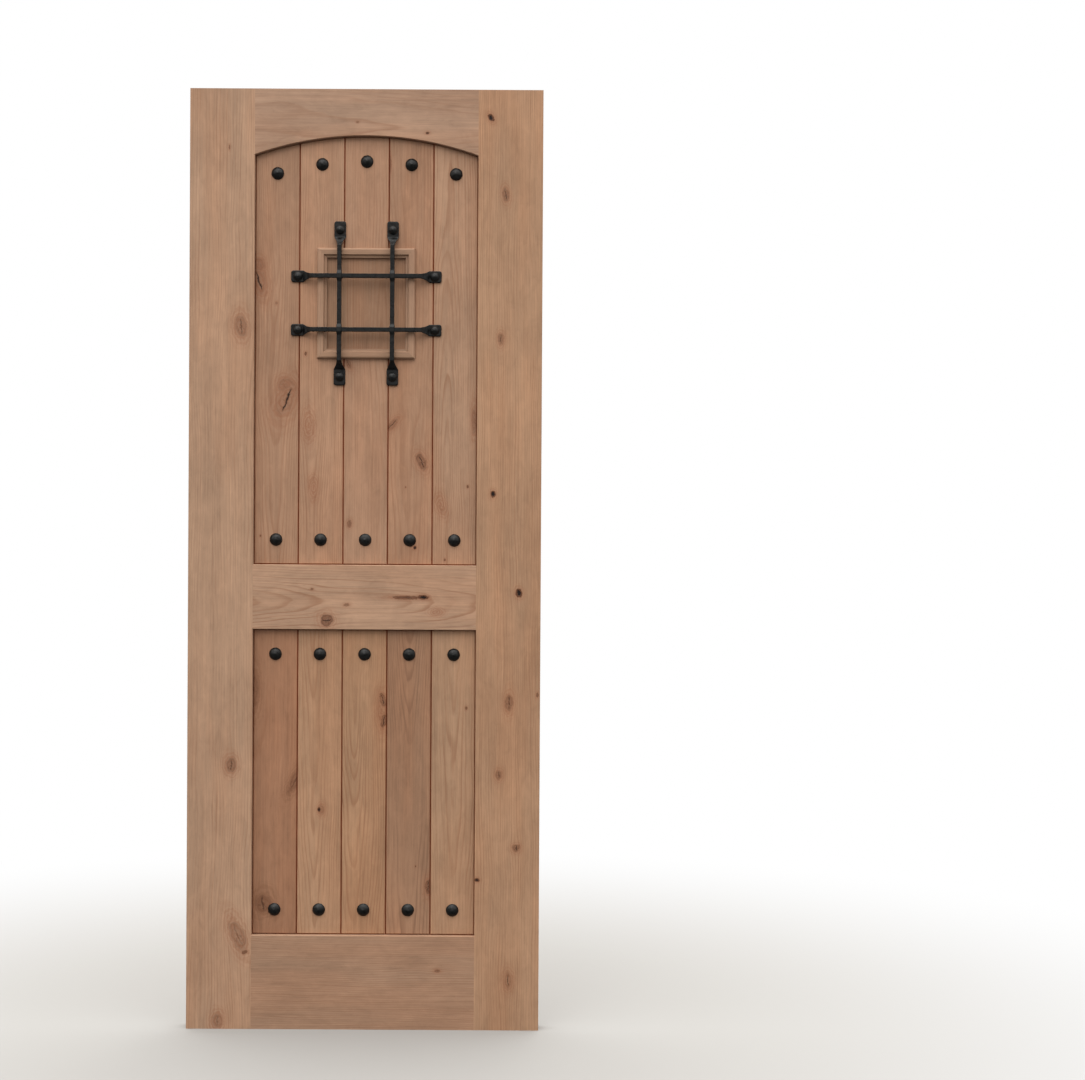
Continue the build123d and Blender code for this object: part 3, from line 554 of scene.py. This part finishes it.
# Hammer marks: round hollows pushed into a surface against its normals, so it never grows
def makeHammerGroup():
    inputs = sockets("Geometry", "Geometry") + sockets("Float", "Dent Size", "Dent Depth", "Seed")
    tree, given, out = newGroup("hammered", "GeometryNodeTree", inputs, sockets("Geometry", "Geometry"))
    place = addNode(tree, "GeometryNodeInputPosition").outputs[0]
    normal = addNode(tree, "GeometryNodeInputNormal").outputs[0]
    shifted = vecCalc(tree, "ADD", place, join(tree, given["Seed"], given["Seed"], given["Seed"]))
    scale = calc(tree, "DIVIDE", 1.0, given["Dent Size"])
    cellInputs = {"Vector": shifted, "Scale": scale, "Smoothness": hammering["smoothness"]}
    cells = addNode(tree, "ShaderNodeTexVoronoi", cellInputs, feature="SMOOTH_F1").outputs["Distance"]
    hollow = calc(tree, "MINIMUM", calc(tree, "SUBTRACT", cells, hammering["dentEdge"]), 0.0)
    push = calc(tree, "MULTIPLY", hollow, given["Dent Depth"])
    move = vecCalc(tree, "MULTIPLY", normal, join(tree, push, push, push))
    moved = addNode(tree, "GeometryNodeSetPosition", {"Geometry": given["Geometry"], "Offset": move})
    tree.links.new(moved.outputs[0], out["Geometry"])
    return tree


hammered = makeHammerGroup()


# A modifier's inputs are set by the socket's identifier
def setInputs(modifier, values):
    for item in modifier.node_group.interface.items_tree:
        if item.in_out == "INPUT" and item.name in values:
            modifier[item.identifier] = values[item.name]


# What an object's modifiers make of it becomes its own mesh, and they go
def makePlain(thing):
    evaluated = thing.evaluated_get(bpy.context.evaluated_depsgraph_get())
    finished = bpy.data.meshes.new_from_object(evaluated)
    thing.modifiers.clear()
    thing.data = finished


# A Geometry Nodes tree at work on a set of points
def grow(node, ending, places, tree, values):
    mesh = bpy.data.meshes.new(node + "_points")
    mesh.from_pydata(places, [], [])
    thing = addObject(node + ending, mesh)
    modifier = thing.modifiers.new("grow", "NODES")
    modifier.node_group = tree
    setInputs(modifier, values)
    makePlain(thing)
    return thing


# A CAD node's triangles as closed skins; the node is left alone
def mergedCopy(node):
    work = bmesh.new()
    work.from_mesh(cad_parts[node].data)
    bmesh.ops.remove_doubles(work, verts=work.verts, dist=mergeWithin)
    return work


# Middles of a node's separate solids, as (x, z)
def solidMiddles(node):
    work = mergedCopy(node)
    middles, seen = [], set()
    for start in work.verts:
        if start in seen:
            continue
        island, stack = [], [start]
        seen.add(start)
        while stack:
            vert = stack.pop()
            island.append(vert.co.copy())
            for edge in vert.link_edges:
                other = edge.other_vert(vert)
                if other not in seen:
                    seen.add(other)
                    stack.append(other)
        xs, zs = [co.x for co in island], [co.z for co in island]
        middles.append(((min(xs) + max(xs)) / 2, (min(zs) + max(zs)) / 2))
    work.free()
    return middles


# A shape lifted to a height and turned over if asked
def lifted(tree, shape, z, turn=0.0):
    settings = {"Geometry": shape, "Translation": join(tree, 0.0, 0.0, z), "Rotation": (turn, 0.0, 0.0)}
    return addNode(tree, "GeometryNodeTransform", settings).outputs[0]


def joinShapes(tree, *shapes):
    made = addNode(tree, "GeometryNodeJoinGeometry")
    for shape in shapes:
        tree.links.new(shape, made.inputs[0])
    return made.outputs[0]


# Faces round the dome of a nail, the head of a screw and their shanks
roundness = {"dome": 48, "domeRings": 28, "screwHead": 40, "shank": 20}


# The straight part of a nail or screw and its point, which faces down
def pointedShank(tree, given, straight, straightZ, pointZ):
    rodSize = {"Vertices": roundness["shank"], "Radius": given["Shank Radius"], "Depth": straight}
    rod = addNode(tree, "GeometryNodeMeshCylinder", rodSize).outputs[0]
    pointSize = {"Vertices": roundness["shank"], "Radius Top": 0.0, "Radius Bottom": given["Shank Radius"]}
    point = addNode(tree, "GeometryNodeMeshCone", {**pointSize, "Depth": given["Point"]}).outputs[0]
    return lifted(tree, rod, straightZ), lifted(tree, point, pointZ, math.pi)


# Domed nails: a cap with a small tip on a short rim, hammered, over a pointed shank
def makeNailGroup():
    inputs = sockets("Geometry", "Geometry")
    inputs += sockets("Float", "Head Radius", "Head Height", "Rim", "Tip Radius", "Tip Height")
    inputs += sockets("Float", "Shank Radius", "Shank Length", "Point", "Dent Size", "Dent Depth", "Seed")
    inputs += sockets("Material", "Finish")
    tree, given, out = newGroup("domeNails", "GeometryNodeTree", inputs, sockets("Geometry", "Geometry"))
    radius, rim = given["Head Radius"], given["Rim"]
    # The cap is part of a ball, and each point of a plain sphere moves up onto it
    riseUp = calc(tree, "SUBTRACT", given["Head Height"], rim)
    squares = calc(tree, "ADD", calc(tree, "MULTIPLY", radius, radius), calc(tree, "MULTIPLY", riseUp, riseUp))
    ball = calc(tree, "DIVIDE", squares, calc(tree, "MULTIPLY", riseUp, 2.0))
    sphereSize = {"Segments": roundness["dome"], "Rings": roundness["domeRings"], "Radius": 1.0}
    sphere = addNode(tree, "GeometryNodeMeshUVSphere", sphereSize).outputs[0]
    x, y, z = split(tree, addNode(tree, "GeometryNodeInputPosition").outputs[0])
    reach = calc(tree, "MULTIPLY", vecCalc(tree, "LENGTH", join(tree, x, y, 0.0)), radius)
    under = calc(tree, "SUBTRACT", calc(tree, "MULTIPLY", ball, ball), calc(tree, "MULTIPLY", reach, reach))
    cap = calc(tree, "SUBTRACT", calc(tree, "SQRT", under), calc(tree, "SUBTRACT", ball, riseUp))
    tipShare = calc(tree, "DIVIDE", reach, given["Tip Radius"])
    tip = calc(tree, "EXPONENT", calc(tree, "MULTIPLY", calc(tree, "MULTIPLY", tipShare, tipShare), -1.0))
    top = calc(tree, "ADD", calc(tree, "ADD", cap, rim), calc(tree, "MULTIPLY", tip, given["Tip Height"]))
    upper = calc(tree, "GREATER_THAN", z, -0.001)  # the lower half lies flat on the seat
    height = calc(tree, "MULTIPLY", top, upper)
    shaped = join(tree, calc(tree, "MULTIPLY", x, radius), calc(tree, "MULTIPLY", y, radius), height)
    head = addNode(tree, "GeometryNodeSetPosition", {"Geometry": sphere, "Position": shaped}).outputs[0]

    straight = calc(tree, "SUBTRACT", given["Shank Length"], given["Point"])
    middleZ, pointZ = calc(tree, "MULTIPLY", straight, -0.5), calc(tree, "MULTIPLY", straight, -1.0)
    shank = joinShapes(tree, *pointedShank(tree, given, straight, middleZ, pointZ))

    def onPoints(shape):
        settings = {"Points": given["Geometry"], "Instance": shape, "Rotation": (math.pi / 2, 0.0, 0.0)}
        placed = addNode(tree, "GeometryNodeInstanceOnPoints", settings).outputs[0]
        return addNode(tree, "GeometryNodeRealizeInstances", {"Geometry": placed}).outputs[0]

    beating = {"Geometry": onPoints(head), **{key: given[key] for key in ("Dent Size", "Dent Depth", "Seed")}}
    beaten = addNode(tree, "GeometryNodeGroup", beating, node_tree=hammered).outputs[0]
    both = joinShapes(tree, beaten, onPoints(shank))
    realized = addNode(tree, "GeometryNodeRealizeInstances", {"Geometry": both}).outputs[0]
    smooth = addNode(tree, "GeometryNodeSetShadeSmooth", {"Geometry": realized}).outputs[0]
    finish = addNode(tree, "GeometryNodeSetMaterial", {"Geometry": smooth, "Material": given["Finish"]})
    tree.links.new(finish.outputs[0], out["Geometry"])
    return tree


domeNails = makeNailGroup()

clavo = {
    "Head Radius": 0.0138, "Head Height": 0.0086, "Rim": 0.001, "Tip Radius": 0.0021, "Tip Height": 0.0007,
    "Shank Radius": 0.0026, "Shank Length": 0.016, "Point": 0.005, "Dent Size": 0.006, "Dent Depth": 0.0008,
}
grilleNail = {
    "Head Radius": 0.0104, "Head Height": 0.007, "Rim": 0.0008, "Tip Radius": 0.0016, "Tip Height": 0.0004,
    "Shank Radius": 0.002, "Shank Length": 0.022, "Point": 0.005, "Dent Size": 0.005, "Dent Depth": 0.0007,
}
# Where in the hammer pattern each row of nails lies, so that no two rows are beaten alike
nailRows = {
    "clavos_upper_top": (clavo, 0.0), "clavos_upper_bottom": (clavo, 1.7), "clavos_lower_top": (clavo, 3.4),
    "clavos_lower_bottom": (clavo, 5.1), "grille_nails": (grilleNail, 9.1),
}


def driveNails(node, nail, seed):
    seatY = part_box(node)[0].y + nail["Head Height"]
    places = [(x, seatY, z) for x, z in solidMiddles(node)]
    nails = grow(node, "_hammered", places, domeNails, {**nail, "Seed": seed, "Finish": iron})
    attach(nails, "leaf")
    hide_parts(node)
    return len(places)


nailCount = sum(driveNails(node, nail, seed) for node, (nail, seed) in nailRows.items())
print("nails:", nailCount)


# Countersunk screws with a slot cut across the head, each turned to its own angle
def makeScrewGroup():
    inputs = sockets("Geometry", "Geometry")
    inputs += sockets("Float", "Head Radius", "Head Depth", "Shank Radius", "Shank Length", "Point")
    inputs += sockets("Float", "Slot Width", "Slot Depth") + sockets("Int", "Seed")
    inputs += sockets("Material", "Finish")
    tree, given, out = newGroup("slottedScrews", "GeometryNodeTree", inputs, sockets("Geometry", "Geometry"))
    headDepth = given["Head Depth"]
    headSize = {
        "Vertices": roundness["screwHead"], "Radius Top": given["Head Radius"],
        "Radius Bottom": given["Shank Radius"], "Depth": headDepth,
    }
    cone = addNode(tree, "GeometryNodeMeshCone", headSize).outputs[0]
    belowFace = calc(tree, "MULTIPLY", headDepth, -1.0)
    head = lifted(tree, cone, belowFace)
    slotLength = calc(tree, "MULTIPLY", given["Head Radius"], 3.0)  # past the head on both sides
    slotSize = join(tree, slotLength, given["Slot Width"], calc(tree, "MULTIPLY", given["Slot Depth"], 2.0))
    slot = addNode(tree, "GeometryNodeMeshCube", {"Size": slotSize}).outputs[0]
    cutting = {"Mesh 1": head, "Mesh 2": slot}
    cut = addNode(tree, "GeometryNodeMeshBoolean", cutting, operation="DIFFERENCE").outputs[0]
    straight = calc(tree, "SUBTRACT", given["Shank Length"], given["Point"])
    straight = calc(tree, "SUBTRACT", straight, headDepth)
    middleZ = calc(tree, "MULTIPLY_ADD", straight, -0.5, belowFace)
    pointZ = calc(tree, "SUBTRACT", given["Point"], given["Shank Length"])
    screw = joinShapes(tree, cut, *pointedShank(tree, given, straight, middleZ, pointZ))
    turns = {"Max": math.pi, "Seed": given["Seed"]}
    turn = addNode(tree, "FunctionNodeRandomValue", turns, data_type="FLOAT")
    turnAngle = next(socket for socket in turn.outputs if socket.enabled)
    settings = {"Points": given["Geometry"], "Instance": screw, "Rotation": (-math.pi / 2, 0.0, 0.0)}
    placed = addNode(tree, "GeometryNodeInstanceOnPoints", settings).outputs[0]
    turning = {"Instances": placed, "Rotation": join(tree, 0.0, 0.0, turnAngle)}
    turned = addNode(tree, "GeometryNodeRotateInstances", turning).outputs[0]
    realized = addNode(tree, "GeometryNodeRealizeInstances", {"Geometry": turned}).outputs[0]
    finish = addNode(tree, "GeometryNodeSetMaterial", {"Geometry": realized, "Material": given["Finish"]})
    tree.links.new(finish.outputs[0], out["Geometry"])
    return tree


slottedScrews = makeScrewGroup()

screwSizes = {
    "Head Radius": 0.0029, "Head Depth": 0.0015, "Shank Radius": 0.0014, "Shank Length": 0.013, "Point": 0.003,
    "Slot Width": 0.0009, "Slot Depth": 0.0008,
}
# The body that each row of screws rides on
screwRows = {
    "hinge_casing_screws": "leaf", "keeper_screws": "leaf",
    "hinge_door_screws": "speakeasy_door", "bolt_screws": "speakeasy_door",
}


def driveScrews(node, body, seed):
    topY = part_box(node)[1].y
    places = [(x, topY, z) for x, z in solidMiddles(node)]
    values = {**screwSizes, "Seed": seed, "Finish": finishes["worn_steel"]}
    screws = grow(node, "_slotted", places, slottedScrews, values)
    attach(screws, body)
    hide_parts(node)
    return len(places)


screwCount = sum(driveScrews(node, body, seed) for seed, (node, body) in enumerate(screwRows.items(), 1))
print("screws:", screwCount)

# Forged bars: the solids' own shape, its edges eased and its faces beaten; lengths in metres
forging = {
    "voxel": 0.0008, "easing": 2, "easingPull": 0.5, "dentSize": 0.013, "dentDepth": 0.00055, "seedStep": 3.3,
}
bars = ["grille_bar_left", "grille_bar_right", "grille_bar_lower", "grille_bar_upper"]


def forgeBar(node, seed):
    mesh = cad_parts[node].data.copy()
    work = mergedCopy(node)
    work.to_mesh(mesh)
    work.free()
    bar = addObject(node + "_forged", mesh)
    remesh = bar.modifiers.new("skin", "REMESH")
    remesh.mode = "VOXEL"
    remesh.voxel_size = forging["voxel"]
    remesh.use_smooth_shade = True
    easing = bar.modifiers.new("ease", "SMOOTH")
    easing.factor = forging["easingPull"]
    easing.iterations = forging["easing"]
    beat = bar.modifiers.new("beat", "NODES")
    beat.node_group = hammered
    setInputs(beat, {"Dent Size": forging["dentSize"], "Dent Depth": forging["dentDepth"], "Seed": seed})
    makePlain(bar)
    bar.data.materials.clear()
    bar.data.materials.append(iron)
    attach(bar, "leaf")
    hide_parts(node)
    return len(bar.data.polygons)


barFaces = sum(forgeBar(node, forging["seedStep"] * place) for place, node in enumerate(bars))
print("grille: faces", barFaces)

# Pale floor that turns white away from the object; radii in metres. The sky stands high, so the floor
# is lit far more than the leaf's faces and a mid grey looks pale; what it gives back to them is dimmer.
floorLook = {
    "size": 60.0, "seen": (150, 149, 147), "givenBack": (84, 84, 83), "roughness": 0.9, "specular": 0.1,
    "clearFrom": 0.6, "whiteFrom": 2.4,
}


def makeFloor():
    half = floorLook["size"] / 2
    corners = [(-half, -half, 0), (half, -half, 0), (half, half, 0), (-half, half, 0)]
    mesh = bpy.data.meshes.new("floor")
    mesh.from_pydata(corners, [], [(0, 1, 2, 3)])
    floor = addObject("floor", mesh)
    material, tree, shader = newMaterial("floor_finish")
    place = addNode(tree, "ShaderNodeTexCoord").outputs["Object"]
    seen = addNode(tree, "ShaderNodeLightPath").outputs["Is Camera Ray"]
    shader.inputs["Base Color"].default_value = paint(floorLook["seen"])
    shader.inputs["Roughness"].default_value = floorLook["roughness"]
    shader.inputs["Specular IOR Level"].default_value = floorLook["specular"]
    dim = addNode(tree, "ShaderNodeBsdfDiffuse", {"Color": paint(floorLook["givenBack"])}).outputs[0]
    near = addNode(tree, "ShaderNodeMixShader", {0: seen, 1: dim, 2: shader.outputs[0]}).outputs[0]
    clear = addNode(tree, "ShaderNodeEmission", {"Color": white, "Strength": 1.0}).outputs[0]
    far = ease(tree, vecCalc(tree, "LENGTH", place), floorLook["clearFrom"], floorLook["whiteFrom"])
    blend = addNode(tree, "ShaderNodeMixShader", {0: calc(tree, "MULTIPLY", far, seen), 1: near, 2: clear})
    tree.links.new(blend.outputs[0], tree.nodes["Material Output"].inputs["Surface"])
    mesh.materials.append(material)


makeFloor()

# Soft light from an overcast sky, brightest overhead; white where the camera looks past the object
sky = {
    "overhead": 4.1, "horizon": 0.8, "below": 0.15, "gather": 2.0, "horizonEdge": (-0.05, 0.02),
    "colour": (255, 253, 250),
}


def makeSky():
    world = bpy.data.worlds.new("sky")
    bpy.context.scene.world = world
    world.use_nodes = True
    tree = world.node_tree
    tree.nodes.clear()
    up = split(tree, addNode(tree, "ShaderNodeTexCoord").outputs["Generated"])[2]
    high = calc(tree, "POWER", calc(tree, "MAXIMUM", up, 0.0), sky["gather"])
    bright = calc(tree, "MULTIPLY_ADD", high, sky["overhead"] - sky["horizon"], sky["horizon"])
    dimming = ease(tree, up, *sky["horizonEdge"], sky["below"] / sky["horizon"], 1.0)
    light = {"Color": paint(sky["colour"]), "Strength": calc(tree, "MULTIPLY", bright, dimming)}
    lit = addNode(tree, "ShaderNodeBackground", light).outputs[0]
    plain = addNode(tree, "ShaderNodeBackground", {"Color": white, "Strength": 1.0}).outputs[0]
    seen = addNode(tree, "ShaderNodeLightPath").outputs["Is Camera Ray"]
    blend = addNode(tree, "ShaderNodeMixShader", {0: seen, 1: lit, 2: plain}).outputs[0]
    addNode(tree, "ShaderNodeOutputWorld", {"Surface": blend})


makeSky()

# Soft boxes: place, what they aim at, size in metres, power in watts, colour
softBoxes = {
    "key": {
        "at": (-0.9, -3.2, 4.4), "aim": (0.0, 0.0, 1.1), "size": 1.6, "power": 22.0, "colour": (255, 252, 247),
    },
    "back": {
        "at": (0.9, 3.2, 4.4), "aim": (0.0, 0.0, 1.1), "size": 1.6, "power": 22.0, "colour": (255, 252, 247),
    },
}


def makeSoftBox(name, box):
    lamp = bpy.data.lights.new(name, "AREA")
    lamp.shape = "SQUARE"
    lamp.size = box["size"]
    lamp.energy = box["power"]
    lamp.color = paint(box["colour"])[:3]
    holder = addObject(name, lamp)
    holder.location = box["at"]
    holder.rotation_euler = (Vector(box["aim"]) - Vector(box["at"])).to_track_quat("-Z", "Y").to_euler()


for name, box in softBoxes.items():
    makeSoftBox(name, box)

# The photograph's camera, a little above the leaf's middle and in line with its lock edge.
# Place in metres, angles in degrees, sensor in millimetres.
cameraView = {
    "at": (0.382, -4.2, 1.0855), "yaw": 0.031, "pitch": -0.33, "roll": 0.334,
    "focalPixels": 1934.0, "frameWidth": 1085.0, "sensor": 36.0,
}


def makeCamera():
    data = bpy.data.cameras.new("camera")
    data.sensor_width = cameraView["sensor"]
    data.lens = cameraView["focalPixels"] / cameraView["frameWidth"] * data.sensor_width
    camera = addObject("camera", data)
    turn = Matrix.Rotation(-math.radians(cameraView["yaw"]), 4, "Z")
    tilt = Matrix.Rotation(math.radians(90 + cameraView["pitch"]), 4, "X")
    roll = Matrix.Rotation(math.radians(cameraView["roll"]), 4, "Z")
    camera.matrix_world = Matrix.Translation(cameraView["at"]) @ turn @ tilt @ roll
    bpy.context.scene.camera = camera


makeCamera()
bpy.context.scene.view_settings.view_transform = "Standard"
print("stage: floor, sky, lamps and camera")
